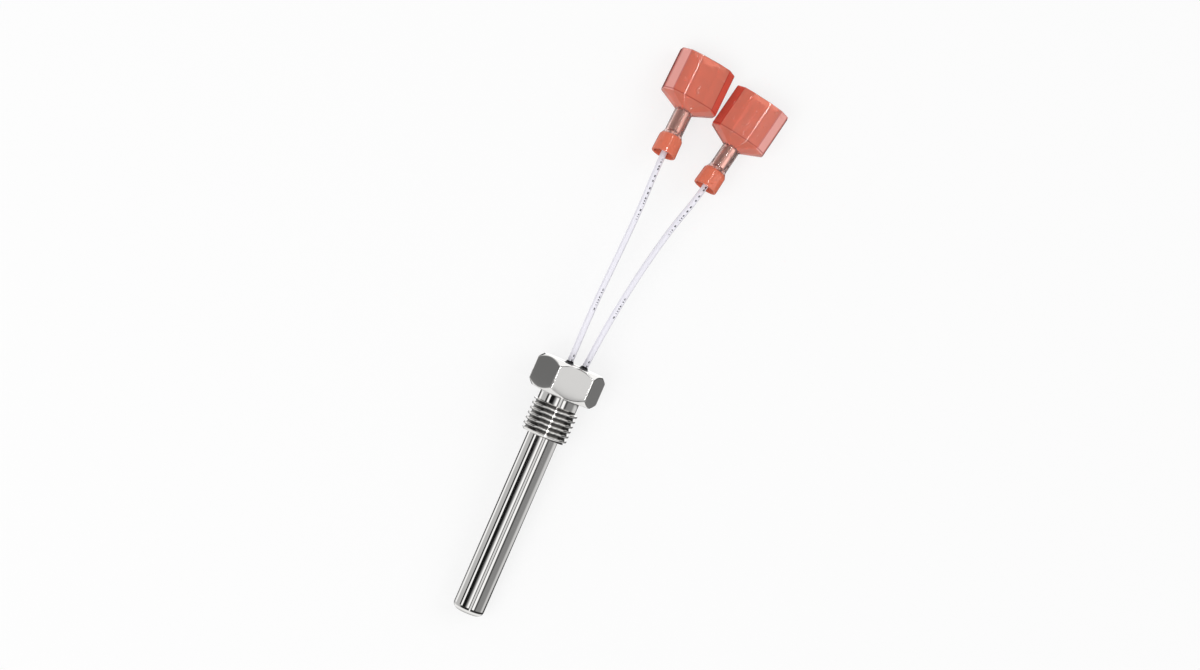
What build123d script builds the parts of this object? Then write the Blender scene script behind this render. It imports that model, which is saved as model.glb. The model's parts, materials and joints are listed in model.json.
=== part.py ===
from build123d import *
import os
from math import asin, atan2, cos, degrees, hypot, radians, sin, tan

# Flue temperature sensor: a closed stainless sheath brazed into a threaded hex fitting, with a
# thermistor in its tip and two insulated leads that end in fully insulated push-on terminals.
# Everything is in millimetres. The sensor lies on a table, +X from the tip towards the terminals,
# with its origin on the table under the middle of the probe.

os.makedirs("parts", exist_ok=True)

# Sheath: a drawn stainless tube, closed at its tip
sheath_diameter = 6.35
sheath_wall = 0.5
tip_radius = 1.3
sheath_bare_length = 37.95
sheath_step = 0.175

# Hex fitting: thread, plain neck and head, turned from one bar
thread_major = 9.4
thread_pitch = 25.4 / 24
thread_turns = 6.25
thread_depth = 0.6
crest_width = 0.22
root_width = 0.26
thread_chamfer = 0.5
neck_diameter = 8.15
neck_length = 2.05
hex_across_flats = 12.7
hex_height = 6.7
hex_face_inset = 0.15
braze_gap = 0.05
socket_depth = 9.6
potting_well_diameter = 7.2
potting_well_depth = 3.2
potting_recess = 0.15
meniscus_height = 1.1
meniscus_spread = 0.45
meniscus_lip = 0.04

# Leads: stranded copper under a smooth fluoropolymer jacket
lead_diameter = 1.27
conductor_diameter = 0.76
strip_length = 3.4
butt_gap = 0.1

# Thermistor, its legs and the two splices to the leads
bead_diameter = 2.4
bead_length = 3.4
bead_standoff = 2.2
leg_diameter = 0.4
leg_pitch = 0.9
leg_bend_radius = 4.0
leg_straight = 2.2
leg_spread_length = 4.0
leg_sleeve_diameter = 0.9
leg_sleeve_bore = 0.46
splice_spacing = 2.3
splice_start = 23.0
splice_length = 5.4
splice_diameter = 1.5
splice_bore = 0.84
splice_sleeve_diameter = 2.1
splice_sleeve_bore = 1.56
splice_sleeve_overlap = 1.6
compound_depth = 12.0

# Terminal housing: a moulded nylon box, crowned top and bottom, with a barrel and a bell
housing_width = 12.05
housing_thickness = 5.9
housing_crown = 0.4
housing_flat = 3.9
housing_bevel = 1.6
housing_edge_radius = 0.25
box_length = 9.4
shoulder_length = 2.1
shoulder_end_width = 4.3
shoulder_end_thickness = 3.9
barrel_diameter = 3.7
barrel_length = 5.15
bell_diameter = 4.9
bell_flare = 0.1
bell_length = 4.6
bell_throat_length = 1.0
bell_throat_radius = 0.45
bell_wall = 0.45
bell_bore_depth = 2.5
funnel_length = 1.2
funnel_lip = 0.3
pocket_width = 8.6
pocket_thickness = 3.7
pocket_bevel = 0.8
pocket_floor = 0.6
pocket_throat_width = 2.9
pocket_throat_thickness = 3.2

# Receptacle: one stamped brass strip with two rolled edges and its own crimp barrel
strip_thickness = 0.4
receptacle_width = 8.0
receptacle_height = 3.1
receptacle_length = 7.8
receptacle_recess = 0.6
tab_thickness = 0.8
detent_diameter = 1.6
neck_end_width = 1.6
crimp_bore = 0.84
crimp_diameter = 1.9
crimp_length = 4.5

# Grip sleeve: a thin copper tube round the crimp barrel, necked down on the lead's jacket
grip_diameter = 2.7
grip_length = 5.5
grip_neck_length = 1.0
grip_bore_gap = 0.05
grip_slit = 0.14

# Where each terminal lies: the middle of its bell mouth on the table plan, and its turns in degrees
terminal_places = {
    "a": {"x": 71.95, "y": -0.18, "yaw": -5.2, "pitch": 10.0, "roll": 0.0},
    "b": {"x": 69.3, "y": -10.8, "yaw": -12.7, "pitch": 5.2, "roll": 15.0},
}

# Each lead's way through the fitting, as distances from the tip and to the left of the axis,
# and then its free stretch over the table, both chosen by hand
fitting_points = {
    "a": [(41.0, 1.15), (54.3, 0.98)],
    "b": [(41.0, -1.15), (54.3, -2.2)],
}
free_points = {
    "a": [(38.5, 1.12, 7.75), (50.0, 0.62, 8.3), (60.9, 0.1, 7.95)],
    "b": [(38.4, -3.3, 7.25), (49.6, -5.35, 6.85), (59.4, -7.75, 5.95)],
}
bell_lead_in = 2.2

# Places along the probe, measured from the tip
sheath_radius = sheath_diameter / 2
sheath_bore_radius = sheath_radius - sheath_wall
sheath_end_radius = sheath_radius - sheath_step
neck_start = sheath_bare_length + thread_turns * thread_pitch
head_start = neck_start + neck_length
head_end = head_start + hex_height
sheath_end = sheath_bare_length + socket_depth
well_floor = head_end - potting_well_depth
potting_end = head_end - potting_recess
bead_start = sheath_wall + bead_standoff
bead_end = bead_start + bead_length
splice_end = splice_start + splice_length
compound_end = sheath_wall + compound_depth

# The probe rests on its tip's rounding and on the middle of one flat of the head
flat_run = head_start + hex_face_inset - tip_radius
rounding_reach = sheath_radius - tip_radius
flat_drop = hex_across_flats / 2 - rounding_reach
lie_angle = atan2(flat_drop, flat_run) - asin(tip_radius / hypot(flat_run, flat_drop))
along = Vector(cos(lie_angle), 0, sin(lie_angle))
upward = Vector(-sin(lie_angle), 0, cos(lie_angle))
face_radius = hex_across_flats / 2 - hex_face_inset
back_reach = tip_radius * (1 - cos(lie_angle)) + rounding_reach * sin(lie_angle)
front_reach = head_end * cos(lie_angle) + face_radius * sin(lie_angle)
tip_height = rounding_reach * cos(lie_angle) + tip_radius - tip_radius * sin(lie_angle)
tip_centre = Vector((back_reach - front_reach) / 2, 0, tip_height)

# Planes and axis that the probe's pieces are built on
probe_axis = Axis(tip_centre, along)
probe_plane = Plane(origin=tip_centre, x_dir=upward, z_dir=along)
section_plane = Plane(origin=tip_centre, x_dir=upward, z_dir=(0, 1, 0))


def on_probe(distance, sideways, height=0):
    """A point this far from the tip, to the left of the probe's axis and above it."""
    return tip_centre + along * distance + Vector(0, sideways, 0) + upward * height


def corner_radii(points):
    """The largest tangent arc that each corner of a route has room for."""
    radii = []
    for before, corner, after in zip(points, points[1:], points[2:]):
        run_in = Vector(corner) - Vector(before)
        run_out = Vector(after) - Vector(corner)
        half_turn = radians(run_in.get_angle(run_out)) / 2
        radii.append(0.45 * min(run_in.length, run_out.length) / tan(half_turn))
    return radii


def finish(piece, name):
    """Label a finished piece and write it out under its own name."""
    piece.part.label = name
    export_step(piece.part, f"parts/{name}.step")


# Sheath: revolved wall with a rounded closed end, turned down where it sits in the fitting
with BuildPart() as probe_sheath:
    with BuildSketch(section_plane):
        with BuildLine():
            FilletPolyline(
                (0, 0),
                (sheath_radius, 0),
                (sheath_radius, sheath_bare_length),
                radius=tip_radius,
            )
            Polyline(
                (sheath_radius, sheath_bare_length),
                (sheath_end_radius, sheath_bare_length),
                (sheath_end_radius, sheath_end),
                (sheath_bore_radius, sheath_end),
            )
            FilletPolyline(
                (sheath_bore_radius, sheath_end),
                (sheath_bore_radius, sheath_wall),
                (0, sheath_wall),
                radius=tip_radius - sheath_wall,
            )
            Line((0, sheath_wall), (0, 0))
        make_face()
    revolve(axis=probe_axis)
finish(probe_sheath, "probe_sheath")

# Thread: radii of its crest and root, and the groove's section, which stands a little past the crest
crest_radius = thread_major / 2
root_radius = crest_radius - thread_depth
groove_height = thread_depth + 0.15
flank_slope = (thread_pitch - crest_width - root_width) / 2 / thread_depth
groove_mouth = root_width / 2 + groove_height * flank_slope
groove_start = tip_centre + along * (sheath_bare_length - thread_pitch)

# Hex fitting: bevelled hexagon, neck and thread, bored for the sheath and for the leads
socket_radius = sheath_end_radius + braze_gap
well_radius = potting_well_diameter / 2
with BuildPart() as hex_fitting:
    with BuildSketch(probe_plane.offset(head_start)):
        RegularPolygon(radius=hex_across_flats / 2, side_count=6, major_radius=False, rotation=30)
    extrude(amount=hex_height)
    with BuildSketch(section_plane):
        with BuildLine():
            Polyline(
                (0, head_start),
                (face_radius, head_start),
                (face_radius + hex_height / 2, head_start + hex_height / 2),
                (face_radius, head_end),
                (0, head_end),
                close=True,
            )
        make_face()
    revolve(axis=probe_axis, mode=Mode.INTERSECT)
    with BuildSketch(section_plane):
        with BuildLine():
            Polyline(
                (0, sheath_bare_length),
                (crest_radius - thread_chamfer, sheath_bare_length),
                (crest_radius, sheath_bare_length + thread_chamfer),
                (crest_radius, neck_start),
                (neck_diameter / 2, neck_start),
                (neck_diameter / 2, head_start),
                (0, head_start),
                close=True,
            )
        make_face()
    revolve(axis=probe_axis)
    with BuildLine() as groove:
        Helix(
            pitch=thread_pitch,
            height=(thread_turns + 2) * thread_pitch,
            radius=root_radius,
            center=groove_start,
            direction=along,
        )
    groove_foot = groove.line @ 0
    with BuildSketch(Plane(groove_foot, x_dir=groove_foot - groove_start, z_dir=groove.line % 0)):
        with BuildLine():
            Polyline(
                (0, -root_width / 2),
                (groove_height, -groove_mouth),
                (groove_height, groove_mouth),
                (0, root_width / 2),
                close=True,
            )
        make_face()
    sweep(is_frenet=True, mode=Mode.SUBTRACT)
    with BuildSketch(section_plane):
        with BuildLine():
            Polyline(
                (0, sheath_bare_length),
                (socket_radius, sheath_bare_length),
                (socket_radius, sheath_end),
                (sheath_bore_radius, sheath_end),
                (sheath_bore_radius, well_floor),
                (well_radius, well_floor),
                (well_radius, head_end),
                (0, head_end),
                close=True,
            )
        make_face()
    revolve(axis=probe_axis, mode=Mode.SUBTRACT)
finish(hex_fitting, "hex_fitting")

# Thermistor bead: a glass-coated chip with round ends
bead_radius = bead_diameter / 2
with BuildPart() as thermistor_bead:
    with BuildSketch(section_plane):
        with BuildLine():
            Line((0, bead_start), (0, bead_end))
            RadiusArc((0, bead_end), (bead_radius, bead_end - bead_radius), bead_radius)
            Line((bead_radius, bead_end - bead_radius), (bead_radius, bead_start + bead_radius))
            RadiusArc((bead_radius, bead_start + bead_radius), (0, bead_start), bead_radius)
        make_face()
    revolve(axis=probe_axis)
finish(thermistor_bead, "thermistor_bead")

# Legs, their sleeves, the splice ferrules and the sleeves over the splices, one of each per side
leg_end = splice_end - strip_length
legs = {}
for side, turn in {"a": 1, "b": -1}.items():
    near = turn * leg_pitch / 2
    far = turn * splice_spacing / 2
    spread_start = bead_end + leg_straight
    spread_end = spread_start + leg_spread_length
    with BuildPart() as leg:
        with BuildLine() as route:
            FilletPolyline(
                on_probe(bead_end - bead_radius, near),
                on_probe(spread_start, near),
                on_probe(spread_end, far),
                on_probe(leg_end, far),
                radius=leg_bend_radius,
            )
        path = route.wires()[0]
        with BuildSketch(Plane(origin=path @ 0, z_dir=path % 0)):
            Circle(leg_diameter / 2)
        sweep()
        add(thermistor_bead.part, mode=Mode.SUBTRACT)
    finish(leg, f"thermistor_leg_{side}")
    legs[side] = leg

    tubes = {
        "leg_sleeve": (compound_end, splice_start, leg_sleeve_diameter, leg_sleeve_bore),
        "splice_ferrule": (splice_start, splice_end, splice_diameter, splice_bore),
        "splice_sleeve": (
            splice_start - splice_sleeve_overlap,
            splice_end + splice_sleeve_overlap,
            splice_sleeve_diameter,
            splice_sleeve_bore,
        ),
    }
    for name, (start, end, outside, bore) in tubes.items():
        tube_plane = Plane(origin=on_probe(start, far), x_dir=upward, z_dir=along)
        with BuildPart() as tube:
            with BuildSketch(tube_plane):
                Circle(outside / 2)
                Circle(bore / 2, mode=Mode.SUBTRACT)
            extrude(amount=end - start)
        finish(tube, f"{name}_{side}")

# Tip compound: cured heat-transfer paste that fills the tip round the bead and its legs
with BuildPart() as tip_compound:
    with BuildSketch(section_plane):
        with BuildLine():
            FilletPolyline(
                (0, sheath_wall),
                (sheath_bore_radius, sheath_wall),
                (sheath_bore_radius, compound_end),
                radius=tip_radius - sheath_wall,
            )
            Line((sheath_bore_radius, compound_end), (0, compound_end))
            Line((0, compound_end), (0, sheath_wall))
        make_face()
    revolve(axis=probe_axis)
    add(thermistor_bead.part, mode=Mode.SUBTRACT)
    for leg in legs.values():
        add(leg.part, mode=Mode.SUBTRACT)
finish(tip_compound, "tip_compound")


def crowned_section(width, thickness, flat, crown, bevel, edge_radius):
    """An eight-sided outline with crowned top and bottom, symmetrical both ways."""
    with BuildSketch(mode=Mode.PRIVATE) as outline:
        with BuildLine():
            Polyline(
                (0, thickness / 2),
                (flat / 2, thickness / 2),
                (width / 2 - bevel, thickness / 2 - crown),
                (width / 2, thickness / 2 - crown - bevel),
                (width / 2, 0),
            )
            mirror(about=Plane.YZ)
            mirror(about=Plane.XZ)
        make_face()
        corners = [v for v in outline.vertices() if abs(v.Y) > edge_radius / 10]
        fillet(corners, radius=edge_radius)
    return outline.sketch


# Sections of the housing outside and inside, and places along it from the bell mouth
barrel_end = bell_length + barrel_length
box_start = barrel_end + shoulder_length
housing_length = box_start + box_length
pocket_start = box_start + pocket_floor
thinning = shoulder_end_thickness / housing_thickness
box_section = crowned_section(
    housing_width, housing_thickness, housing_flat, housing_crown, housing_bevel, housing_edge_radius
)
shoulder_section = crowned_section(
    shoulder_end_width,
    shoulder_end_thickness,
    shoulder_end_width * housing_flat / housing_width,
    housing_crown * thinning,
    housing_bevel * thinning,
    housing_edge_radius * thinning,
)


def terminal_plane(place):
    """The plane of a bell mouth, with the lowest edge of the housing's own mouth on the table."""
    yaw = radians(place["yaw"])
    pitch = radians(place["pitch"])
    roll = radians(place["roll"])
    ahead = Vector(cos(pitch) * cos(yaw), cos(pitch) * sin(yaw), -sin(pitch))
    level_side = Vector(-sin(yaw), cos(yaw), 0)
    level_up = ahead.cross(level_side)
    side = level_side * cos(roll) - level_up * sin(roll)
    turned_section = Plane(origin=(0, 0, 0), x_dir=side, z_dir=ahead) * box_section
    height = housing_length * sin(pitch) - turned_section.bounding_box().min.Z
    return Plane(origin=(place["x"], place["y"], height), x_dir=side, z_dir=ahead)


# Terminals: housing, receptacle and grip sleeve, built from the bell mouth forwards
barrel_radius = barrel_diameter / 2
bell_radius = bell_diameter / 2
grip_start = bell_bore_depth + funnel_length + funnel_lip
crimp_start = grip_start + grip_neck_length + butt_gap
crimp_end = crimp_start + crimp_length
receptacle_end = housing_length - receptacle_recess
receptacle_start = receptacle_end - receptacle_length
roll_radius = (receptacle_height - strip_thickness) / 2
roll_centre = receptacle_width / 2 - strip_thickness / 2 - roll_radius
lip_height = tab_thickness + strip_thickness - roll_radius
lip_angle = 180 - degrees(asin(lip_height / roll_radius))
terminal_planes = {}
for side, place in terminal_places.items():
    mouth = terminal_plane(place)
    terminal_planes[side] = mouth
    terminal_axis = Axis(mouth.origin, mouth.z_dir)
    length_plane = Plane(origin=mouth.origin, x_dir=mouth.x_dir, z_dir=mouth.y_dir * -1)

    with BuildPart() as terminal_housing:
        with BuildSketch(mouth.offset(box_start)):
            add(box_section)
        extrude(amount=box_length)
        with BuildSketch(mouth.offset(barrel_end)):
            add(shoulder_section)
        with BuildSketch(mouth.offset(box_start)):
            add(box_section)
        loft()
        with BuildSketch(length_plane):
            with BuildLine():
                Polyline((0, 0), (bell_radius + bell_flare, 0))
                FilletPolyline(
                    (bell_radius + bell_flare, 0),
                    (bell_radius, bell_length - bell_throat_length),
                    (barrel_radius, bell_length),
                    (barrel_radius, barrel_end),
                    radius=bell_throat_radius,
                )
                Polyline((barrel_radius, barrel_end), (0, barrel_end), (0, 0))
            make_face()
        revolve(axis=terminal_axis)
        with BuildSketch(mouth.offset(pocket_start)):
            Rectangle(pocket_width, pocket_thickness)
            chamfer(vertices(), length=pocket_bevel)
        extrude(amount=housing_length - pocket_start, mode=Mode.SUBTRACT)
        with BuildSketch(mouth.offset(barrel_end)):
            Rectangle(pocket_throat_width, pocket_throat_thickness)
            chamfer(vertices(), length=pocket_bevel)
        with BuildSketch(mouth.offset(pocket_start)):
            Rectangle(pocket_width, pocket_thickness)
            chamfer(vertices(), length=pocket_bevel)
        loft(mode=Mode.SUBTRACT)
        with BuildSketch(length_plane):
            with BuildLine():
                Polyline(
                    (0, 0),
                    (bell_radius - bell_wall + bell_flare, 0),
                    (bell_radius - bell_wall, bell_bore_depth),
                    (lead_diameter / 2 + funnel_lip, bell_bore_depth + funnel_length),
                    (lead_diameter / 2 + funnel_lip, grip_start),
                    (grip_diameter / 2 + grip_bore_gap, grip_start),
                    (grip_diameter / 2 + grip_bore_gap, barrel_end),
                    (0, barrel_end),
                    close=True,
                )
            make_face()
        revolve(axis=terminal_axis, mode=Mode.SUBTRACT)
    finish(terminal_housing, f"terminal_housing_{side}")

    with BuildPart() as receptacle:
        with BuildSketch(mouth.offset(receptacle_start)):
            with BuildLine():
                Line((-roll_centre, -roll_radius), (roll_centre, -roll_radius))
                CenterArc((roll_centre, 0), roll_radius, -90, 90 + lip_angle)
                CenterArc((-roll_centre, 0), roll_radius, -90, -90 - lip_angle)
            trace(line_width=strip_thickness)
        extrude(amount=receptacle_length)
        with BuildSketch(mouth.offset(crimp_end)):
            with Locations((0, -(crimp_diameter - strip_thickness) / 2)):
                Rectangle(neck_end_width, strip_thickness)
        with BuildSketch(mouth.offset(receptacle_start)):
            with Locations((0, -roll_radius)):
                Rectangle(2 * roll_centre, strip_thickness)
        loft()
        with BuildSketch(mouth.offset(crimp_start)):
            Circle(crimp_diameter / 2)
            Circle(crimp_bore / 2, mode=Mode.SUBTRACT)
        extrude(amount=crimp_length + strip_thickness)
        with BuildSketch(length_plane.offset(roll_radius)):
            with Locations((0, receptacle_start + receptacle_length / 2)):
                Circle(detent_diameter / 2)
        extrude(amount=strip_thickness, both=True, mode=Mode.SUBTRACT)
    finish(receptacle, f"receptacle_{side}")

    grip_bore = crimp_diameter / 2 + grip_bore_gap
    neck_bore = lead_diameter / 2 + grip_bore_gap
    grip_wall = grip_diameter / 2 - grip_bore
    with BuildPart() as grip_sleeve:
        with BuildSketch(length_plane):
            with BuildLine():
                Polyline(
                    (neck_bore, grip_start + butt_gap),
                    (neck_bore + grip_wall, grip_start + butt_gap),
                    (neck_bore + grip_wall, grip_start + grip_neck_length - grip_wall),
                    (grip_diameter / 2, grip_start + grip_neck_length),
                    (grip_diameter / 2, grip_start + grip_length),
                    (grip_bore, grip_start + grip_length),
                    (grip_bore, grip_start + grip_neck_length),
                    (neck_bore, grip_start + grip_neck_length - grip_wall),
                    close=True,
                )
            make_face()
        revolve(axis=terminal_axis)
        with BuildSketch(mouth.offset(grip_start)):
            with Locations((0, grip_diameter / 2)):
                Rectangle(grip_slit, grip_diameter - lead_diameter)
        extrude(amount=grip_length, mode=Mode.SUBTRACT)
    finish(grip_sleeve, f"grip_sleeve_{side}")

# Leads: from the splice up through the fitting, over the table and into the crimp barrel
leads = {}
for side, turn in {"a": 1, "b": -1}.items():
    mouth = terminal_planes[side]
    route_points = [on_probe(splice_end + butt_gap, turn * splice_spacing / 2)]
    route_points += [on_probe(*point) for point in fitting_points[side]]
    route_points += [Vector(point) for point in free_points[side]]
    route_points += [mouth.from_local_coords((0, 0, s)) for s in (-bell_lead_in, crimp_start - butt_gap)]
    radii = corner_radii(route_points)
    with BuildPart() as lead_wire:
        with BuildLine() as route:
            FilletPolyline(*route_points, radius=radii)
        path = route.wires()[0]
        start_plane = Plane(origin=path @ 0, z_dir=path % 0)
        end_plane = Plane(origin=path @ 1, z_dir=path % 1)
        with BuildSketch(start_plane):
            Circle(lead_diameter / 2)
        sweep()
        with BuildSketch(start_plane):
            Circle(conductor_diameter / 2)
        extrude(amount=-strip_length)
        with BuildSketch(end_plane):
            Circle(conductor_diameter / 2)
        extrude(amount=strip_length)
    finish(lead_wire, f"lead_wire_{side}")
    leads[side] = lead_wire

# Head potting: black epoxy poured into the well, drawn up a little round each lead
with BuildPart() as head_potting:
    with BuildSketch(probe_plane.offset(well_floor)):
        Circle(well_radius)
    extrude(amount=potting_end - well_floor)
    for (low, low_side), (high, high_side) in fitting_points.values():
        pool_side = low_side + (high_side - low_side) * (potting_end - low) / (high - low)
        with Locations(Plane(origin=on_probe(potting_end, pool_side), z_dir=along)):
            Cone(
                bottom_radius=lead_diameter / 2 + meniscus_spread,
                top_radius=lead_diameter / 2 + meniscus_lip,
                height=meniscus_height,
                align=(Align.CENTER, Align.CENTER, Align.MIN),
            )
    for lead in leads.values():
        add(lead.part, mode=Mode.SUBTRACT)
finish(head_potting, "head_potting")
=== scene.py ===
import json
from math import atan2, cos, exp, pi, radians, sin, sqrt

import bmesh
import bpy
from mathutils import Matrix, Vector


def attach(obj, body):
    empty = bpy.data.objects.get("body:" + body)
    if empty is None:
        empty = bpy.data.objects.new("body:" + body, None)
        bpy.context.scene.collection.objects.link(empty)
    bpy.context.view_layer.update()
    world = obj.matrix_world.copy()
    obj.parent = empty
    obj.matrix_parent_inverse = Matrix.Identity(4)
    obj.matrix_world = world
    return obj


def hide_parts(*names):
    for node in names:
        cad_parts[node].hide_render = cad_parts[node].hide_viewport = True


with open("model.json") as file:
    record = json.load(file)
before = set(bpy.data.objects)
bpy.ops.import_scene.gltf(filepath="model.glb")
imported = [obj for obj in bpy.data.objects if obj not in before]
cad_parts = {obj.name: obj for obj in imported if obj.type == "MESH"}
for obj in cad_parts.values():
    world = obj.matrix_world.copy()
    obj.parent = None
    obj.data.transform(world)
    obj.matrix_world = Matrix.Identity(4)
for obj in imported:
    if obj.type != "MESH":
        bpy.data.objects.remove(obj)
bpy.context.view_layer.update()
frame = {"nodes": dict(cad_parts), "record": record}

# Sheath: a polished stainless tube, drawn closed at its tip and plain as far as the thread.
# It lies on its rounded tip, with the fitting's hexagon holding its far end up.
mm = 0.001
mounts = {mount["name"]: mount for mount in frame["record"]["mounts"]}
along = -Vector(mounts["sheath"]["axis"])
sheath_radius = mounts["sheath"]["dims"]["r_mm"] * mm
sheath_bare_length = 37.95 * mm
sheath_end = sheath_bare_length + 1 * mm
tip_radius = 1.3 * mm
tip_steps = 8
tip_centre = Vector(mounts["sheath"]["pos_m"]) - along * (sheath_bare_length + tip_radius) / 2
sideways = Vector((0, 1, 0))
upward = along.cross(sideways)
steel_colour = (0.80, 0.79, 0.775, 1)
merge_distance = 1e-7


def place_in_frame(origin, across, up, ahead):
    """The transform that takes a piece drawn along Z, with X across it, to where it belongs."""
    turn = Matrix((across, up, ahead)).transposed().to_4x4()
    return Matrix.Translation(origin) @ turn


def spun_profile(mesh, profile, steps=96):
    """Turns a profile of (radius, distance along Z) into a closed round shape."""
    points = [mesh.verts.new((radius, 0, distance)) for radius, distance in profile]
    edges = [mesh.edges.new(pair) for pair in zip(points, points[1:])]
    bmesh.ops.spin(
        mesh,
        geom=points + edges,
        cent=(0, 0, 0),
        axis=(0, 0, 1),
        angle=2 * pi,
        steps=steps,
        use_merge=True,
        use_duplicate=False,
    )
    bmesh.ops.remove_doubles(mesh, verts=mesh.verts, dist=merge_distance)


def finish_piece(name, mesh, place, material, solids, sharp_angle=30):
    """Makes the object, sets its sharp edges and finish, and puts it on the part's body."""
    bmesh.ops.transform(mesh, matrix=place, verts=mesh.verts)
    bmesh.ops.recalc_face_normals(mesh, faces=mesh.faces)
    for face in mesh.faces:
        face.smooth = True
    for edge in mesh.edges:
        edge.smooth = edge.calc_face_angle(0) < radians(sharp_angle)
    data = bpy.data.meshes.new(name)
    mesh.to_mesh(data)
    mesh.free()
    piece = bpy.data.objects.new(name, data)
    bpy.context.scene.collection.objects.link(piece)
    data.materials.append(material)
    even = piece.modifiers.new("even shading", "WEIGHTED_NORMAL")
    even.keep_sharp = True
    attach(piece, "root")
    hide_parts(*solids)
    return piece


def new_material(name, base_colour, roughness, metallic=0.0):
    """A material with its Principled shader's plain values set."""
    material = bpy.data.materials.new(name)
    material.use_nodes = True
    shader = material.node_tree.nodes["Principled BSDF"]
    shader.inputs["Base Color"].default_value = base_colour
    shader.inputs["Roughness"].default_value = roughness
    shader.inputs["Metallic"].default_value = metallic
    return material, material.node_tree.nodes, material.node_tree.links, shader


def feed(links, socket, value):
    """Joins a node's output to a socket, or sets the socket to a plain value."""
    if isinstance(value, bpy.types.NodeSocket):
        links.new(value, socket)
    else:
        socket.default_value = value


def maths(nodes, links, operation, *values):
    """The result of one step of arithmetic."""
    step = nodes.new("ShaderNodeMath")
    step.operation = operation
    for socket, value in zip(step.inputs, values):
        feed(links, socket, value)
    return step.outputs[0]


def ranged(nodes, links, value, low, high, to_low=0.0, to_high=1.0):
    """The value's range from low to high, spread over another range and held at its ends."""
    spread = nodes.new("ShaderNodeMapRange")
    feed(links, spread.inputs["Value"], value)
    feed(links, spread.inputs["From Min"], low)
    feed(links, spread.inputs["From Max"], high)
    feed(links, spread.inputs["To Min"], to_low)
    feed(links, spread.inputs["To Max"], to_high)
    return spread.outputs["Result"]


def mixed(nodes, links, factor, first, second, blend="MIX"):
    """One colour turning into the other as the factor goes from 0 to 1."""
    mix = nodes.new("ShaderNodeMix")
    mix.data_type = "RGBA"
    mix.blend_type = blend
    feed(links, mix.inputs["Factor"], factor)
    feed(links, mix.inputs["A"], first)
    feed(links, mix.inputs["B"], second)
    return mix.outputs["Result"]


def soft_noise(nodes, links, place, scale, detail):
    """Soft uneven patches over a surface, from nought to one."""
    noise = nodes.new("ShaderNodeTexNoise")
    feed(links, noise.inputs["Vector"], place)
    feed(links, noise.inputs["Scale"], scale)
    feed(links, noise.inputs["Detail"], detail)
    return noise.outputs["Fac"]


def handling_group():
    """Faint handling marks, which make the colour and the roughness a little uneven."""
    group = bpy.data.node_groups.new("handling marks", "ShaderNodeTree")
    group.interface.new_socket("Colour", in_out="INPUT", socket_type="NodeSocketColor")
    for label in ("Size", "Darkening", "Low", "High"):
        group.interface.new_socket(label, in_out="INPUT", socket_type="NodeSocketFloat")
    group.interface.new_socket("Colour", in_out="OUTPUT", socket_type="NodeSocketColor")
    group.interface.new_socket("Roughness", in_out="OUTPUT", socket_type="NodeSocketFloat")
    nodes, links = group.nodes, group.links
    given = nodes.new("NodeGroupInput").outputs
    made = nodes.new("NodeGroupOutput").inputs
    place = nodes.new("ShaderNodeTexCoord").outputs["Object"]
    patches = soft_noise(nodes, links, place, given["Size"], 4)
    amount = maths(nodes, links, "MULTIPLY", patches, given["Darkening"])
    darker = mixed(nodes, links, amount, given["Colour"], (0.5, 0.5, 0.5, 1), "MULTIPLY")
    uneven = ranged(nodes, links, patches, 0, 1, given["Low"], given["High"])
    links.new(darker, made["Colour"])
    links.new(uneven, made["Roughness"])
    return group


handling_marks = handling_group()


def wear(nodes, links, shader, size, darkening, roughness_low, roughness_high):
    """Feeds a material's colour and roughness through the handling marks, and gives the colour."""
    marks = nodes.new("ShaderNodeGroup")
    marks.node_tree = handling_marks
    marks.inputs["Colour"].default_value = shader.inputs["Base Color"].default_value
    marks.inputs["Size"].default_value = size
    marks.inputs["Darkening"].default_value = darkening
    marks.inputs["Low"].default_value = roughness_low
    marks.inputs["High"].default_value = roughness_high
    links.new(marks.outputs["Colour"], shader.inputs["Base Color"])
    links.new(marks.outputs["Roughness"], shader.inputs["Roughness"])
    return marks.outputs["Colour"]


polished_steel, nodes, links, shader = new_material("polished steel", steel_colour, 0.07, 1.0)
wear(nodes, links, shader, 160, 0.06, 0.03, 0.06)

probe_place = place_in_frame(tip_centre, upward, along.cross(upward), along)
tip_turns = [pi / 2 * step / tip_steps for step in range(tip_steps + 1)]
sheath_profile = [(0, 0)]
sheath_profile += [(sheath_radius - tip_radius * (1 - sin(t)), tip_radius * (1 - cos(t)))
                   for t in tip_turns]
sheath_profile += [(sheath_radius, sheath_end), (0, sheath_end)]
sheath_mesh = bmesh.new()
spun_profile(sheath_mesh, sheath_profile, steps=128)
finish_piece("sheath_tube", sheath_mesh, probe_place, polished_steel, ["probe_sheath"])

# Fitting: one turned stainless piece with a 3/8-24 thread, a plain neck and a half-inch hexagon,
# bevelled at both ends of its corners. The sheath is brazed into it from below.
thread_radius = mounts["thread"]["dims"]["r_mm"] * mm
thread_pitch = 25.4 / 24 * mm
thread_length = mounts["thread"]["dims"]["length_mm"] * mm
thread_depth = 0.6 * mm
thread_chamfer = 0.5 * mm
thread_columns = 144
# Painted shade in the thread's grooves: how far up the ridge it reaches, as a share of its height, and
# how dark it gets at the root
thread_painted_shade_reach = 0.25
thread_painted_shade_depth = 0.9
neck_radius = 4.075 * mm
neck_length = 2.05 * mm
neck_chamfer = 0.12 * mm
neck_fillet = 0.25 * mm
neck_start = sheath_bare_length + thread_length
head_start = neck_start + neck_length
head_height = 6.7 * mm
head_end = head_start + head_height
across_flats = 12.7 * mm
face_radius = across_flats / 2 - 0.15 * mm
side_steps = 14
corner_width = 0.2 * mm
edge_width = 0.13 * mm
well_radius = 3.6 * mm
well_depth = 0.6 * mm
well_edge = 0.25 * mm

# Half of one turn's ridge, from the groove's middle to the crest's: distance, height as a share
ridge_shape = [(0, 0), (0.06, 0), (0.09, 0.02), (0.11, 0.07), (0.20, 0.42), (0.29, 0.77),
               (0.32, 0.88), (0.35, 0.955), (0.38, 0.985), (0.42, 0.997), (0.5, 1)]


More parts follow.
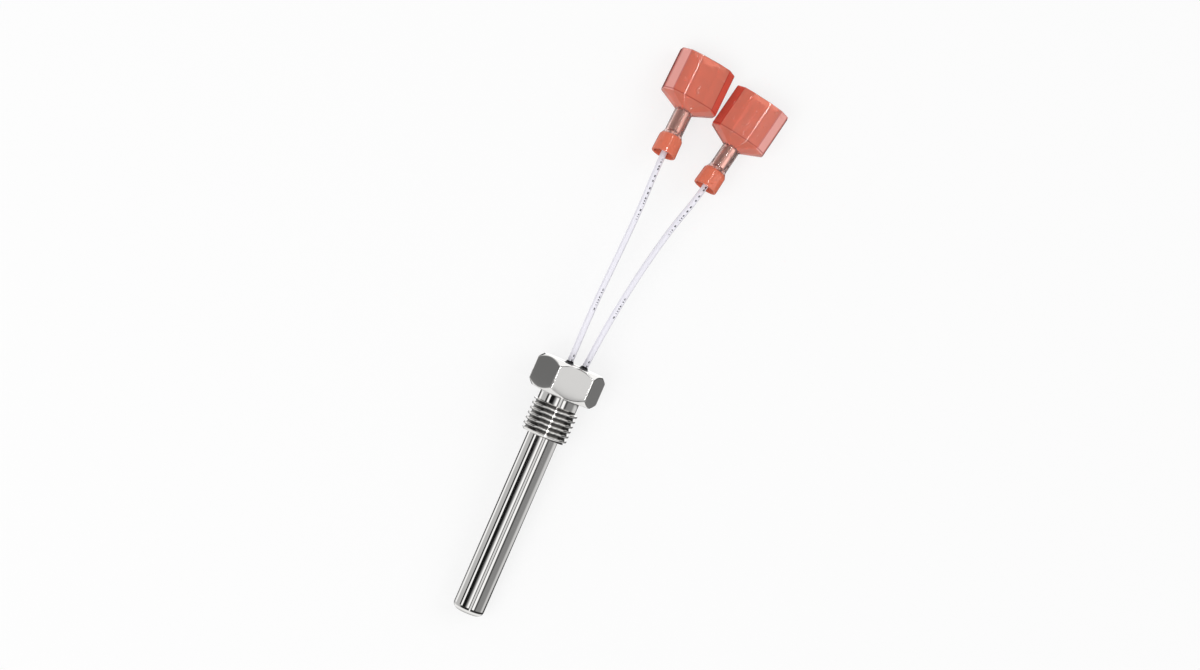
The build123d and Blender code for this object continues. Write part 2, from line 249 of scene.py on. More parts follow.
def ridge_height(turns):
    """Height of the ridge as a share of its depth, this many turns on from a groove's middle."""
    share = turns % 1
    share = min(share, 1 - share)
    for (low, low_height), (high, high_height) in zip(ridge_shape, ridge_shape[1:]):
        if share <= high:
            return low_height + (high_height - low_height) * (share - low) / (high - low)
    return 1.0


thread_mesh = bmesh.new()
row_shares = [share for share, height in ridge_shape]
row_shares += [1 - share for share in row_shares]
turn_starts = range(-1, int(thread_length / thread_pitch) + 2)
rows = sorted({start + share for start in turn_starts for share in row_shares})
row_points = [thread_mesh.verts.new((thread_radius, 0, row * thread_pitch)) for row in rows]
row_edges = [thread_mesh.edges.new(pair) for pair in zip(row_points, row_points[1:])]
bmesh.ops.spin(
    thread_mesh,
    geom=row_points + row_edges,
    cent=(0, 0, 0),
    axis=(0, 0, 1),
    dvec=(0, 0, thread_pitch / thread_columns),
    angle=2 * pi,
    steps=thread_columns,
    use_merge=False,
    use_duplicate=False,
)
# Painted shade: each point gets a share of near-black for the shade in the groove, strongest at the root
# and gone a quarter of the way up the ridge
thread_painted_shade = thread_mesh.verts.layers.float.new("thread painted shade")
for vert in thread_mesh.verts:
    turn = atan2(vert.co.y, vert.co.x) / (2 * pi) % 1
    height = min(max(vert.co.z, 0), thread_length)
    ridge = ridge_height(height / thread_pitch - turn)
    vert[thread_painted_shade] = thread_painted_shade_depth * max(0, 1 - ridge / thread_painted_shade_reach)
    radius = thread_radius - thread_depth * (1 - ridge)
    radius = min(radius, thread_radius - thread_chamfer + height)
    angle = 2 * pi * turn
    vert.co = Vector((radius * cos(angle), radius * sin(angle), sheath_bare_length + height))
bmesh.ops.remove_doubles(thread_mesh, verts=thread_mesh.verts, dist=2 * merge_distance)
bmesh.ops.dissolve_degenerate(thread_mesh, dist=merge_distance, edges=thread_mesh.edges)
for inner_radius, end in [(sheath_radius, sheath_bare_length), (neck_radius - 0.2 * mm, neck_start)]:
    rim = [edge for edge in thread_mesh.edges
           if edge.is_boundary and all(abs(vert.co.z - end) < 1e-6 for vert in edge.verts)]
    made = bmesh.ops.extrude_edge_only(thread_mesh, edges=rim)
    for vert in [item for item in made["geom"] if isinstance(item, bmesh.types.BMVert)]:
        scale = inner_radius / sqrt(vert.co.x ** 2 + vert.co.y ** 2)
        vert.co.x *= scale
        vert.co.y *= scale

thread_steel, nodes, links, shader = new_material("cut thread steel", steel_colour, 0.08, 1.0)
worn = wear(nodes, links, shader, 240, 0.1, 0.06, 0.12)
# The steel's colour is darkened towards near-black by the painted shade in the grooves
thread_painted_shade_node = nodes.new("ShaderNodeAttribute")
thread_painted_shade_node.attribute_name = "thread painted shade"
thread_colour_with_painted_shade = mixed(nodes, links, thread_painted_shade_node.outputs["Fac"], worn, (0.03, 0.028, 0.026, 1))
links.new(thread_colour_with_painted_shade, shader.inputs["Base Color"])
thread = finish_piece(
    "fitting_thread", thread_mesh, probe_place, thread_steel, ["hex_fitting"], 40
)

turned_steel, nodes, links, shader = new_material("turned steel", steel_colour, 0.1, 1.0)
wear(nodes, links, shader, 240, 0.08, 0.02, 0.04)

neck_mesh = bmesh.new()
neck_inside = neck_radius - 0.6 * mm
neck_profile = [(neck_inside, neck_start), (neck_radius - neck_chamfer, neck_start)]
neck_profile += [(neck_radius, neck_start + neck_chamfer), (neck_radius, head_start - neck_fillet)]
neck_profile += [(neck_radius + neck_fillet * (1 - cos(t)), head_start - neck_fillet * (1 - sin(t)))
                 for t in [pi / 8 * step for step in range(1, 5)]]
neck_profile += [(neck_inside, head_start + 0.1 * mm), (neck_inside, neck_start)]
spun_profile(neck_mesh, neck_profile)
finish_piece("fitting_neck", neck_mesh, probe_place, turned_steel, ["hex_fitting"])


def ring(mesh, points):
    """A closed loop of edges through these points."""
    verts = [mesh.verts.new(point) for point in points]
    return [mesh.edges.new((a, b)) for a, b in zip(verts, verts[1:] + verts[:1])]


def bridge_chain(mesh, rings):
    """Skins the rings one after another, held apart meanwhile so that each is joined straight."""
    heights = {vert: vert.co.z for edges in rings for edge in edges for vert in edge.verts}
    for number, edges in enumerate(rings):
        for vert in {vert for edge in edges for vert in edge.verts}:
            vert.co.z = number * 10 * mm
    for near, far in zip(rings, rings[1:]):
        bmesh.ops.bridge_loops(mesh, edges=near + far)
    for vert, height in heights.items():
        vert.co.z = height


def round_off(mesh, edges, width, segments):
    """Rounds these edges off."""
    bmesh.ops.bevel(
        mesh,
        geom=edges,
        offset=width,
        offset_type="OFFSET",
        affect="EDGES",
        segments=segments,
        profile=0.5,
        clamp_overlap=True,
        material=-1,
    )


head_turns = [2 * pi * step / (6 * side_steps) for step in range(6 * side_steps)]


def round_ring(radius, distance):
    """Points on a circle round the head's axis."""
    return [(radius * cos(t), radius * sin(t), distance) for t in head_turns]


def hexagon_ring(distance, bevel_side):
    """Points round the flats where the bevel at one end cuts them, furthest in at the corners."""
    points = []
    for turn in head_turns:
        off_flat = (turn + pi / 6) % (pi / 3) - pi / 6
        radius = across_flats / 2 / cos(off_flat)
        cut_back = bevel_side * (radius - face_radius)
        points.append((radius * cos(turn), radius * sin(turn), distance + cut_back))
    return points


head_mesh = bmesh.new()
bridge_chain(head_mesh, [ring(head_mesh, points) for points in [
    round_ring(neck_radius - 0.5 * mm, head_start),
    round_ring(face_radius, head_start),
    hexagon_ring(head_start, 1),
    hexagon_ring(head_end, -1),
    round_ring(face_radius, head_end),
    round_ring(well_radius + well_edge, head_end),
    round_ring(well_radius, head_end - well_edge),
    round_ring(well_radius, head_end - well_depth),
]])
corners = [edge for edge in head_mesh.edges if edge.calc_face_angle(0) > radians(50)
           and abs(edge.verts[0].co.z - edge.verts[1].co.z) > head_height / 2]
round_off(head_mesh, corners, corner_width, 4)
sharp_edges = [edge for edge in head_mesh.edges if edge.calc_face_angle(0) > radians(25)]
round_off(head_mesh, sharp_edges, edge_width, 3)
hexagon = finish_piece(
    "fitting_hexagon", head_mesh, probe_place, turned_steel, ["hex_fitting"]
)

# Potting: black epoxy poured round the leads in the head's well, drawn up a little round each.
# It sets with a glossy skin a little below the rim.
potting_end = head_end - 0.15 * mm
meniscus_height = 0.75 * mm
meniscus_spread = 0.24 * mm
pool_rings = 26
lead_radius = 0.635 * mm
parting_start = 41.0 * mm
parting_length = 13.3 * mm
lead_sides = {"a": (1.15 * mm, 0.98 * mm), "b": (-1.15 * mm, -2.2 * mm)}
parted = (potting_end - parting_start) / parting_length
pool_sides = {side: start + (end - start) * parted for side, (start, end) in lead_sides.items()}
potting_mesh = bmesh.new()
bmesh.ops.create_circle(potting_mesh, cap_ends=True, cap_tris=False, radius=well_radius, segments=96)
for step in range(pool_rings):
    bmesh.ops.inset_region(
        potting_mesh,
        faces=[max(potting_mesh.faces, key=lambda face: len(face.verts))],
        thickness=well_radius / (pool_rings + 1),
        use_even_offset=True,
        use_boundary=True,
    )
for vert in potting_mesh.verts:
    rise = 0
    for lead_side in pool_sides.values():
        away = sqrt(vert.co.x ** 2 + (vert.co.y + lead_side) ** 2) - lead_radius
        rise += meniscus_height * exp(-max(away, 0) / meniscus_spread)
    vert.co.z = potting_end + min(rise, meniscus_height)
black_epoxy, nodes, links, shader = new_material("black epoxy", (0.012, 0.012, 0.013, 1), 0.12)
wear(nodes, links, shader, 300, 0.2, 0.08, 0.2)
finish_piece("potting_pool", potting_mesh, probe_place, black_epoxy, ["head_potting"])

# Terminals: two female push-on terminals, each a folded brass receptacle in a moulded cover of
# red nylon that lets light through. The cover's box is crowned, its shoulder angled, and its end
# belled out for the lead. A thin tinned sleeve grips the lead behind the crimp.
cover_width = 12.05 * mm
cover_thickness = 5.9 * mm
cover_crown = 0.4 * mm
cover_flat = 3.9 * mm
cover_bevel = 1.6 * mm
corner_round = 0.25 * mm
bell_length = 4.6 * mm
barrel_length = 5.15 * mm
shoulder_length = 2.1 * mm
box_length = 9.4 * mm
barrel_end = bell_length + barrel_length
box_start = barrel_end + shoulder_length
cover_end = box_start + box_length
barrel_radius = 1.85 * mm
bell_radius = 2.45 * mm
bell_wall = 0.45 * mm
lead_way = lead_radius + 0.3 * mm
crimp_way = 1.4 * mm
shoulder_width_share = 4.3 / 12.05
shoulder_thickness_share = 3.9 / 5.9
pocket = (8.6 * mm, 3.7 * mm, 0.8 * mm)
throat = (2.9 * mm, 3.2 * mm, 0.8 * mm)
slot_corner_round = 0.15 * mm
receptacle_recess = 0.6 * mm
tab_height = -0.75 * mm
terminal_rolls = {"a": 0.0, "b": 15.0}
loop_points = 48


def rounded_outline(outline_corners, radius):
    """The outline with each corner rounded, always with the same number of points."""
    steps = loop_points // len(outline_corners) - 1
    points = []
    befores = outline_corners[-1:] + outline_corners[:-1]
    afters = outline_corners[1:] + outline_corners[:1]
    for before, corner, after in zip(befores, outline_corners, afters):
        corner = Vector(corner)
        start = corner + (Vector(before) - corner).normalized() * radius
        end = corner + (Vector(after) - corner).normalized() * radius
        for step in range(steps + 1):
            t = step / steps
            points.append(start * (1 - t) ** 2 + corner * 2 * t * (1 - t) + end * t ** 2)
    return points


def all_round(quarter):
    """A quarter of an outline's corners, and the same on its other three quarters."""
    half = quarter + [(-x, y) for x, y in reversed(quarter)]
    return half + [(-x, -y) for x, y in half]


def cover_outline(width_share=1.0, thickness_share=1.0, inset=0.0):
    """The box's crowned outline, anticlockwise from its right side, drawn in by an inset."""
    w = cover_width / 2 * width_share - inset
    t = cover_thickness / 2 * thickness_share - inset
    bevel = cover_bevel * thickness_share
    crown = cover_crown * thickness_share
    flat = cover_flat / 2 * width_share
    quarter = [(w, t - crown - bevel), (w - bevel, t - crown), (flat, t)]
    return rounded_outline(all_round(quarter), corner_round * thickness_share)


def slot_outline(size):
    """The pocket's eight-sided outline, anticlockwise from its right side."""
    w, t, bevel = size[0] / 2, size[1] / 2, size[2]
    return rounded_outline(all_round([(w, t - bevel), (w - bevel, t)]), slot_corner_round)


def circle_outline(radius):
    """A circle with its points turned to face the outlines' first corner."""
    turns = [2 * pi * (step + 2) / loop_points for step in range(loop_points)]
    return [Vector((radius * cos(t), radius * sin(t))) for t in turns]


def near(nodes, links, value, middle, width):
    """One where the value is at the middle, falling to nought this far from it."""
    away = maths(nodes, links, "SUBTRACT", value, middle)
    return ranged(nodes, links, maths(nodes, links, "ABSOLUTE", away), 0, width, 1, 0)


def painted_crease_shade_group():
    """Painted shade along the box's sides, bevel creases, shoulder fold and lip: a deeper red that
    stands in for looking through more nylon there.
    """
    group = bpy.data.node_groups.new("painted crease shade", "ShaderNodeTree")
    group.interface.new_socket("Line", in_out="OUTPUT", socket_type="NodeSocketFloat")
    nodes, links = group.nodes, group.links
    made = nodes.new("NodeGroupOutput").inputs
    place = nodes.new("ShaderNodeAttribute")
    place.attribute_name = "cover place"
    parts = nodes.new("ShaderNodeSeparateXYZ")
    links.new(place.outputs["Vector"], parts.inputs[0])
    across = maths(nodes, links, "ABSOLUTE", parts.outputs["X"])
    lengthwise = parts.outputs["Z"]
    strongest = 0
    for measured, middle, width in [(across, cover_width / 2 - cover_bevel, 0.16 * mm),
                                    (across, cover_width / 2, 0.3 * mm),
                                    (lengthwise, box_start + 0.25 * mm, 0.2 * mm),
                                    (lengthwise, cover_end, 0.25 * mm)]:
        line = near(nodes, links, measured, middle, width)
        strongest = maths(nodes, links, "MAXIMUM", strongest, line)
    box_edge = 0.1 * mm
    in_box = ranged(nodes, links, lengthwise, box_start - box_edge, box_start + box_edge, 0, 0.75)
    links.new(maths(nodes, links, "MULTIPLY", strongest, in_box), made["Line"])
    return group


def moulded_surface_group():
    """The moulding's slow ripple, with a few small dimples that catch the light."""
    group = bpy.data.node_groups.new("moulded surface", "ShaderNodeTree")
    group.interface.new_socket("Normal", in_out="OUTPUT", socket_type="NodeSocketVector")
    nodes, links = group.nodes, group.links
    made = nodes.new("NodeGroupOutput").inputs
    place = nodes.new("ShaderNodeTexCoord").outputs["Object"]
    ripple = soft_noise(nodes, links, place, 500, 1)
    patches = soft_noise(nodes, links, place, 900, 0)
    dimples = ranged(nodes, links, patches, 0.72, 0.84, 0, 2.5)
    bump = nodes.new("ShaderNodeBump")
    bump.inputs["Strength"].default_value = 0.8
    bump.inputs["Distance"].default_value = 0.035 * mm
    links.new(maths(nodes, links, "SUBTRACT", ripple, dimples), bump.inputs["Height"])
    links.new(bump.outputs["Normal"], made["Normal"])
    return group


painted_crease_shade = painted_crease_shade_group()
moulded_surface = moulded_surface_group()
# The deep red of the painted shade along the creases and edges
painted_crease_shade_colour = (0.42, 0.035, 0.025, 1)

# Each kind of nylon: colour, how much light it lets through, lowest and highest roughness
nylon_kinds = {
    "milky nylon": ((0.93, 0.29, 0.20, 1), 0.50, 0.05, 0.09),
    "bell nylon": ((0.86, 0.22, 0.13, 1), 0.20, 0.05, 0.09),
    "clear nylon": ((1.0, 0.72, 0.67, 1), 0.95, 0.02, 0.05),
    "edge nylon": ((1.0, 0.46, 0.41, 1), 0.25, 0.05, 0.09),
    # A darker red copy of the edge nylon: painted shade and painted red light from the other cover
    "painted shade edge nylon": ((0.84, 0.12, 0.08, 1), 0.25, 0.05, 0.09),
}
nylon_order = list(nylon_kinds)
nylons = []
for name, (colour, clearness, low, high) in nylon_kinds.items():
    material, nodes, links, shader = new_material(name, colour, low)
    shader.inputs["Transmission Weight"].default_value = clearness
    shader.inputs["IOR"].default_value = 1.45
    worn = wear(nodes, links, shader, 220, 0.05, low, high)
    # Painted shade: the colour turns deep red along the box's sides, creases, shoulder fold and lip
    lines = nodes.new("ShaderNodeGroup")
    lines.node_tree = painted_crease_shade
    with_painted_crease_shade = mixed(nodes, links, lines.outputs["Line"], worn, painted_crease_shade_colour)
    links.new(with_painted_crease_shade, shader.inputs["Base Color"])
    surface = nodes.new("ShaderNodeGroup")
    surface.node_tree = moulded_surface
    links.new(surface.outputs["Normal"], shader.inputs["Normal"])
    nylons.append(material)

covers = {}
for side, roll in terminal_rolls.items():
    slot = mounts[f"tab_slot_{side}"]
    ahead = Vector(slot["axis"])
    level_side = Vector((-ahead.y, ahead.x, 0)).normalized()
    level_up = ahead.cross(level_side)
    across = level_side * cos(radians(roll)) - level_up * sin(radians(roll))
    up = ahead.cross(across)
    mouth = Vector(slot["pos_m"]) - up * tab_height - ahead * (cover_end - receptacle_recess)
    terminal_place = place_in_frame(mouth, across, up, ahead)
    sections = [
        (slot_outline(pocket), cover_end),
        (cover_outline(inset=0.25 * mm), cover_end),
        (cover_outline(inset=0.07 * mm), cover_end - 0.07 * mm),
        (cover_outline(), cover_end - 0.25 * mm),
        (cover_outline(), box_start + 0.15 * mm),
        (cover_outline(0.985, 0.99), box_start - 0.1 * mm),
        (cover_outline(shoulder_width_share, shoulder_thickness_share), barrel_end + 0.1 * mm),
        (cover_outline(shoulder_width_share, shoulder_thickness_share, 0.1 * mm), barrel_end),
        (circle_outline(barrel_radius + 0.05 * mm), barrel_end - 0.02 * mm),
        (circle_outline(barrel_radius), barrel_end - 0.15 * mm),
        (circle_outline(barrel_radius), bell_length + 0.25 * mm),
        (circle_outline(barrel_radius + 0.04 * mm), bell_length),
        (circle_outline(bell_radius - 0.2 * mm), bell_length - 0.7 * mm),
        (circle_outline(bell_radius - 0.03 * mm), bell_length - 1.0 * mm),
        (circle_outline(bell_radius), bell_length - 1.35 * mm),
        (circle_outline(bell_radius + 0.09 * mm), 0.12 * mm),
        (circle_outline(bell_radius + 0.04 * mm), 0.0),
        (circle_outline(bell_radius - bell_wall + 0.1 * mm), 0.0),
        (circle_outline(bell_radius - bell_wall), 2.5 * mm),
        (circle_outline(lead_way), 3.7 * mm),
        (circle_outline(lead_way), 4.0 * mm),
        (circle_outline(crimp_way), 4.0 * mm),
        (circle_outline(crimp_way), barrel_end),
        (slot_outline(throat), barrel_end),
        (slot_outline(pocket), box_start + 0.6 * mm),
    ]
    cover_mesh = bmesh.new()
    rings = [ring(cover_mesh, [(p.x, p.y, distance) for p in outline]) for outline, distance in sections]
    bridge_chain(cover_mesh, rings + rings[:1])
    cover_place = cover_mesh.verts.layers.float_vector.new("cover place")
    for vert in cover_mesh.verts:
        vert[cover_place] = vert.co
    cover = finish_piece(
        f"terminal_cover_{side}",
        cover_mesh,
        terminal_place,
        nylons[0],
        [f"terminal_housing_{side}"],
        28,
    )
    for nylon in nylons[1:]:
        cover.data.materials.append(nylon)
    into_cover = terminal_place.inverted()
    for face in cover.data.polygons:
        distance = (into_cover @ face.center).z
        kind = "milky nylon"
        if distance < bell_length - 0.4 * mm:
            kind = "bell nylon"
        elif distance < barrel_end + 0.05 * mm:
            kind = "clear nylon"
        elif distance > box_start and 0.3 < abs(face.normal.dot(up)) < 0.93:
            # Edge faces turned toward the other cover get the darker red copy: painted shade and painted
            # red light from that cover
            faces_other_cover = (face.normal.y < 0) == (side == "a")
            kind = "painted shade edge nylon" if faces_other_cover else "edge nylon"
        face.material_index = nylon_order.index(kind)
    covers[side] = cover

# Leads: two thin stranded wires in a smooth, slightly shiny white jacket. They leave the head close
# together and run in easy curves into the terminals' bells. Fine dark ticks are printed along them.
lead_routes = {
    "a": [(1.71, 1.15, 5.07), (14.18, 1.15, 5.94), (27.45, 0.98, 6.86), (38.5, 1.12, 7.75),
          (50.0, 0.62, 8.3), (60.9, 0.1, 7.95), (69.79, 0.02, 6.98), (76.85, -0.63, 5.73)],
    "b": [(1.71, -1.15, 5.07), (14.18, -1.15, 5.94), (27.45, -2.2, 6.86), (38.4, -3.3, 7.25),
          (49.6, -5.35, 6.85), (59.4, -7.75, 5.95), (67.16, -10.32, 5.71), (74.16, -11.89, 5.06)],
}
printed_side = (0.05, -0.25, 0.967)
ink_colour = (0.05, 0.05, 0.06, 1)

white_jacket, nodes, links, shader = new_material("white jacket", (0.87, 0.855, 0.93, 1), 0.28)
shader.inputs["Coat Weight"].default_value = 1.0
shader.inputs["Coat IOR"].default_value = 1.5
worn = wear(nodes, links, shader, 350, 0.05, 0.22, 0.34)
place = nodes.new("ShaderNodeTexCoord")
parts = nodes.new("ShaderNodeSeparateXYZ")
links.new(place.outputs["Object"], parts.inputs[0])
facing = nodes.new("ShaderNodeVectorMath")
facing.operation = "DOT_PRODUCT"
facing.inputs[1].default_value = printed_side
links.new(place.outputs["Normal"], facing.inputs[0])
ticks = ranged(nodes, links, facing.outputs["Value"], 0.955, 0.975)
for scale, low, high in [(1900, 0.50, 0.56), (70, 0.50, 0.53)]:
    dashes = nodes.new("ShaderNodeTexNoise")
    dashes.noise_dimensions = "1D"
    dashes.inputs["Scale"].default_value = scale
    dashes.inputs["Detail"].default_value = 0
    links.new(parts.outputs["X"], dashes.inputs["W"])
    cut = ranged(nodes, links, dashes.outputs["Fac"], low, high)
    ticks = maths(nodes, links, "MULTIPLY", ticks, cut)
links.new(mixed(nodes, links, ticks, worn, ink_colour), shader.inputs["Base Color"])

for side, route in lead_routes.items():
    curve = bpy.data.curves.new(f"lead_{side}", "CURVE")
    curve.dimensions = "3D"
    curve.bevel_depth = lead_radius
    curve.bevel_resolution = 6
    curve.resolution_u = 24
    curve.use_fill_caps = True
    spline = curve.splines.new("NURBS")
    spline.points.add(len(route) - 1)
    for point, (x, y, z) in zip(spline.points, route):
        point.co = (x * mm, y * mm, z * mm, 1)
    spline.order_u = 3
    spline.use_endpoint_u = True
    lead = bpy.data.objects.new(f"lead_{side}", curve)
    bpy.context.scene.collection.objects.link(lead)
    curve.materials.append(white_jacket)
    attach(lead, "root")
    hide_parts(f"lead_wire_{side}")

# Inner pieces: the brass receptacles and tinned sleeves that show through the covers, and the
# thermistor with its legs, sleeves and splices, which the sheath hides. The solids that the pieces
# above stand for get the same plain finishes.
inner_finishes = {
    "terminal_brass": ((0.93, 0.86, 0.74, 1), 0.12, 1.0),
    "grip_copper": ((0.72, 0.68, 0.64, 1), 0.3, 1.0),
    "bead_glass": ((0.35, 0.20, 0.08, 1), 0.1, 0.0),
    "tinned_wire": ((0.70, 0.70, 0.70, 1), 0.25, 1.0),
    "sleeve": ((0.16, 0.16, 0.17, 1), 0.5, 0.0),
    "compound": ((0.78, 0.77, 0.74, 1), 0.7, 0.0),
    "stainless": (steel_colour, 0.1, 1.0),
    "potting": ((0.012, 0.012, 0.013, 1), 0.12, 0.0),
    "lead_jacket": ((0.80, 0.785, 0.86, 1), 0.28, 0.0),
    "housing_nylon": ((0.90, 0.245, 0.17, 1), 0.16, 0.0),
}
inner_materials = {}
for slot_name, (colour, roughness, metallic) in inner_finishes.items():
    material, nodes, links, shader = new_material(f"{slot_name} inside", colour, roughness, metallic)
    wear(nodes, links, shader, 260, 0.15, roughness * 0.8, roughness * 1.3)
    inner_materials[slot_name] = material
for subpart in frame["record"]["subparts"]:
    solid = frame["nodes"][subpart["node"]]
    solid.data.materials.clear()
    solid.data.materials.append(inner_materials[subpart["material_slot"]])

# Table: a plain pale sheet that keeps the sensor's soft shadow and shows white to the camera.
# Polished metal sees the white room through it.
table_mesh = bmesh.new()
bmesh.ops.create_grid(table_mesh, x_segments=1, y_segments=1, size=3)
table_data = bpy.data.meshes.new("table")
table_mesh.to_mesh(table_data)
table_mesh.free()
table = bpy.data.objects.new("table", table_data)
bpy.context.scene.collection.objects.link(table)
pale_sheet, nodes, links, shader = new_material("pale sheet", (0.90, 0.90, 0.90, 1), 0.9)
seen = nodes.new("ShaderNodeLightPath").outputs
seen_straight = maths(nodes, links, "MAXIMUM", seen["Is Camera Ray"], seen["Is Transmission Ray"])
white = nodes.new("ShaderNodeEmission")
white.inputs["Color"].default_value = (1, 1, 1, 1)
whitened = nodes.new("ShaderNodeMixShader")
links.new(maths(nodes, links, "MULTIPLY", seen_straight, 0.75), whitened.inputs["Fac"])
links.new(shader.outputs["BSDF"], whitened.inputs[1])
links.new(white.outputs["Emission"], whitened.inputs[2])
nothing = nodes.new("ShaderNodeBsdfTransparent")
open_to_metal = nodes.new("ShaderNodeMixShader")
links.new(seen["Is Glossy Ray"], open_to_metal.inputs["Fac"])
links.new(whitened.outputs["Shader"], open_to_metal.inputs[1])
links.new(nothing.outputs["BSDF"], open_to_metal.inputs[2])
links.new(open_to_metal.outputs["Shader"], nodes["Material Output"].inputs["Surface"])
table_data.materials.append(pale_sheet)

# Camera: a long lens almost straight above the sensor, tilted a little towards its left side and
# its tip, and turned so that the probe runs up the frame from its lower left.
tilt = radians(11.24)
lean = radians(2.6)
turn = radians(22.72)
camera_distance = 600 * mm
pixels_per_mm = 5.0495
picture_width = 1200
sensor_width = 36
toward_camera = Vector((-sin(lean), sin(tilt) * cos(lean), cos(tilt) * cos(lean)))
level_ahead = (Vector((1, 0, 0)) + toward_camera * sin(lean)).normalized()
level_right = level_ahead.cross(toward_camera)
picture_up = level_ahead * cos(turn) - level_right * sin(turn)
picture_right = level_ahead * sin(turn) + level_right * cos(turn)
target = tip_centre + along * 60.89 * mm + sideways * -2.65 * mm
target.z = 6.0 * mm
lens_data = bpy.data.cameras.new("camera")
lens_data.sensor_width = sensor_width
lens_data.lens = sensor_width * pixels_per_mm * camera_distance / mm / picture_width
camera = bpy.data.objects.new("camera", lens_data)
bpy.context.scene.collection.objects.link(camera)
camera.matrix_world = place_in_frame(
    target + toward_camera * camera_distance, picture_right, picture_up, toward_camera
)
bpy.context.scene.camera = camera

# Studio: an even white room with two soft panels. Polished metal sees the room's dark flags and
# white panels, which run the same way as the probe, so each band lies along it.
over_probe = (toward_camera - along * toward_camera.dot(along)).normalized()
right_of_probe = along.cross(over_probe)
world = bpy.data.worlds.new("studio")
bpy.context.scene.world = world
world.use_nodes = True
nodes, links = world.node_tree.nodes, world.node_tree.links
nodes.clear()


def share_along(direction, looked_at):
    """How far a looked-at direction points along this one."""
    dot = nodes.new("ShaderNodeVectorMath")
    dot.operation = "DOT_PRODUCT"
    dot.inputs[1].default_value = direction
    links.new(looked_at, dot.inputs[0])
    return dot.outputs["Value"]


def share_of_turn(looked_at, doubling):
    """The bearing of a looked-at direction round the probe, as a share of a full turn."""
    rightness = share_along(right_of_probe, looked_at)
    overness = share_along(over_probe, looked_at)
    bearing = maths(nodes, links, "ARCTAN2", rightness, overness)
    return maths(nodes, links, "MULTIPLY_ADD", bearing, doubling / (2 * pi), 0.5)


def grey_ramp(share, reach, stops):
    """Grey levels over a share from 0 to 1, from (place between -reach and reach, level)."""
    ramp = nodes.new("ShaderNodeValToRGB")
    bands = ramp.color_ramp.elements
    while len(bands) > 1:
        bands.remove(bands[-1])
    for number, (place, level) in enumerate(stops):
        position = place / (2 * reach) + 0.5
        band = bands[0] if number == 0 else bands.new(position)
        band.position = position
        band.color = (level, level, level, 1)
    links.new(share, ramp.inputs["Fac"])
    return ramp.outputs["Color"]


# A piece of metal faces half way between what it mirrors and the camera
looked_at = nodes.new("ShaderNodeTexCoord").outputs["Generated"]
halfway = nodes.new("ShaderNodeVectorMath")
halfway.operation = "ADD"
halfway.inputs[1].default_value = toward_camera
links.new(looked_at, halfway.inputs[0])
facing_way = nodes.new("ShaderNodeVectorMath")
facing_way.operation = "NORMALIZE"
links.new(halfway.outputs[0], facing_way.inputs[0])
faced = facing_way.outputs[0]
around_probe = share_of_turn(looked_at, 1)
around_ends = share_of_turn(faced, 2)
lengthwise = maths(nodes, links, "MULTIPLY_ADD", share_along(along, faced), 0.5, 0.5)

# Bands round the probe, by degrees to the right of straight over it
round_sheath = grey_ramp(around_probe, 180, [
    (-180, 0.06), (-138, 0.06), (-131, 1.15), (-116, 1.15), (-110, 0.6), (-76, 0.6), (-73, 0.04),
    (-63, 0.04), (-61, 1.2), (-50, 1.2), (-48, 0.01), (-28, 0.01), (-20, 0.2), (-14, 0.6),
    (-8, 1.2), (1, 1.2), (3, 0.08), (7, 0.08), (9, 0.85), (20, 0.85), (22, 0.08), (26, 0.08),
    (28, 1.2), (42, 1.2), (44, 0.08), (54, 0.1), (58, 0.28), (98, 0.3), (116, 0.75), (146, 0.7),
    (156, 0.1), (180, 0.1),
])
round_head = grey_ramp(around_probe, 180, [
    (-180, 1.0), (-118, 1.1), (-112, 0.3), (-104, 0.19), (-92, 0.17), (-90, 0.02), (-56, 0.02),
    (-50, 1.25), (-4, 1.25), (4, 0.83), (34, 0.83), (38, 1.25), (84, 1.25), (90, 0.02), (134, 0.02),
    (138, 0.2), (146, 0.2), (150, 0.03), (168, 0.03), (172, 0.9), (180, 1.0),
])
round_ends = grey_ramp(around_ends, 180, [
    (-180, 0.05), (-150, 0.07), (-136, 0.75), (-66, 0.5), (-52, 0.03), (8, 0.03), (10, 1.2),
    (17, 1.2), (20, 0.03), (150, 0.05), (180, 0.05),
])
off_rim = grey_ramp(around_ends, 180, [
    (-180, 0), (-148, 0), (-134, 1), (134, 1), (148, 0), (180, 0),
])

# Levels along the probe, from -1 for what faces its tip's way to 1 for what faces its leads'
pale_ends = grey_ramp(lengthwise, 1, [
    (-1, 1), (-0.46, 1), (-0.42, 0), (0.64, 0), (0.67, 1), (1, 1),
])
at_ends = grey_ramp(lengthwise, 1, [
    (-1, 1), (-0.14, 1), (-0.10, 0), (0.20, 0), (0.26, 1), (1, 1),
])
lead_end = grey_ramp(lengthwise, 1, [(-1, 0), (0.74, 0), (0.8, 1), (1, 1)])
pale = grey_ramp(lengthwise, 1, [
    (-1, 0.08), (-0.95, 0.3), (-0.9, 0.68), (-0.8, 0.78), (-0.73, 0.95), (-0.6, 1.1), (-0.5, 0.95),
    (-0.34, 0.7), (0.6, 1.2), (1, 1.2),
])

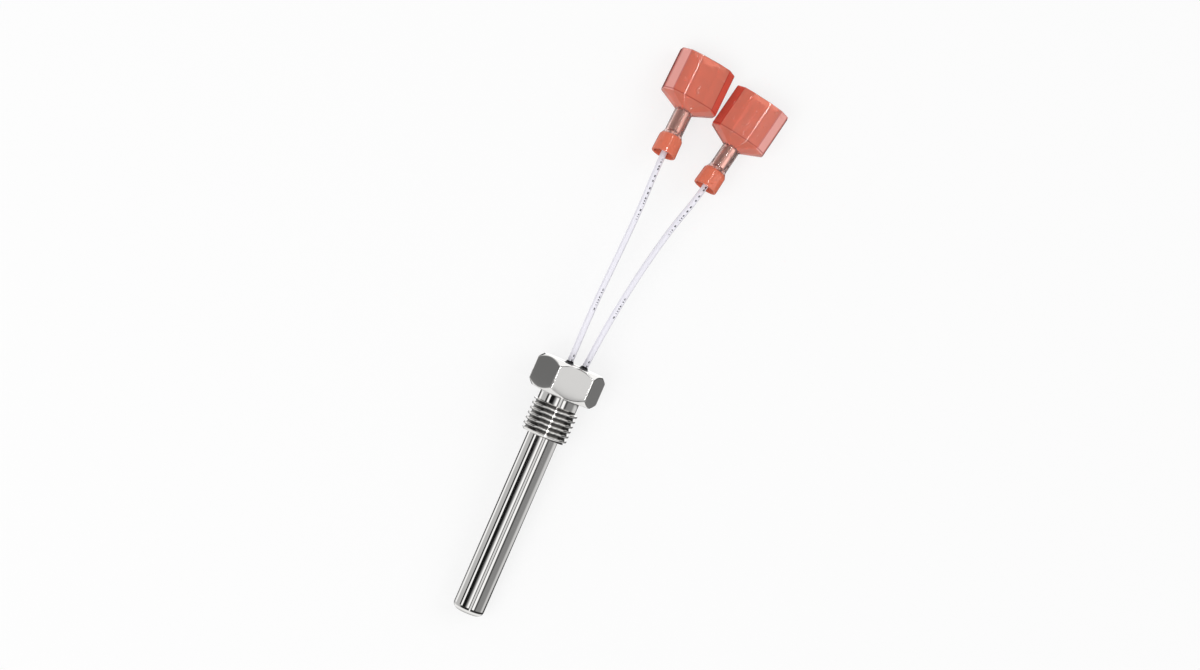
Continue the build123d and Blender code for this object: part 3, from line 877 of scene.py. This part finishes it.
near_head = ranged(nodes, links, share_along(along, looked_at), -0.0502, -0.0492)
round_probe = mixed(nodes, links, near_head, round_sheath, round_head)
paleness = mixed(nodes, links, lead_end, off_rim, pale_ends)
paled = mixed(nodes, links, paleness, round_ends, pale)
ends = mixed(nodes, links, pale_ends, round_ends, paled)
mirrored = mixed(nodes, links, at_ends, round_probe, ends)
seen = nodes.new("ShaderNodeLightPath").outputs
background = nodes.new("ShaderNodeBackground")
room = mixed(nodes, links, seen["Is Glossy Ray"], (1, 1, 1, 1), mirrored)
links.new(room, background.inputs["Color"])
links.new(ranged(nodes, links, seen["Is Diffuse Ray"], 0, 1, 1.0, 0.6), background.inputs["Strength"])
room_output = nodes.new("ShaderNodeOutputWorld")
links.new(background.outputs["Background"], room_output.inputs["Surface"])

panels = [
    ("key panel", (-0.25, 0.35, 0.7), 0.5, 2.6),
    ("fill panel", (0.4, -0.5, 0.6), 0.6, 1.4),
]
for name, spot, size, power in panels:
    lamp_data = bpy.data.lights.new(name, "AREA")
    lamp_data.size = size
    lamp_data.energy = power
    lamp = bpy.data.objects.new(name, lamp_data)
    bpy.context.scene.collection.objects.link(lamp)
    lamp.location = spot
    lamp.rotation_euler = Vector(spot).to_track_quat("Z", "Y").to_euler()
    lamp.visible_glossy = False

# Strip lamps: long thin lamps over the sensor, each of which lights one piece only. They draw the
# bright lines along the covers' fronts, the thread and the hexagon's upper corners.
strip_distance = 0.7
strip_shift = 0.25
strip_length = 1.1
strip_width = 0.02
strips = [
    ("cover strip a", covers["a"], 12.8, 4.5),
    ("cover strip b", covers["b"], 1.0, 4.5),
    ("thread strip", thread, 9.0, 2.5),
    ("left edge strip", hexagon, -8.0, 2.0),
    ("right edge strip", hexagon, 52.0, 2.0),
]
for name, lit_piece, degrees_right, power in strips:
    strip_data = bpy.data.lights.new(name, "AREA")
    strip_data.shape = "RECTANGLE"
    strip_data.size = strip_length
    strip_data.size_y = strip_width
    strip_data.energy = power
    strip = bpy.data.objects.new(name, strip_data)
    bpy.context.scene.collection.objects.link(strip)
    bearing = over_probe * cos(radians(degrees_right)) + level_right * sin(radians(degrees_right))
    spot = target + bearing * strip_distance + along * strip_shift
    strip.matrix_world = place_in_frame(spot, along, bearing.cross(along), bearing)
    strip.visible_diffuse = False
    strip.visible_transmission = False
    lit = bpy.data.collections.new(f"lit by {name}")
    lit.objects.link(lit_piece)
    strip.light_linking.receiver_collection = lit

# Finish: the plain view
bpy.context.scene.view_settings.view_transform = "Standard"
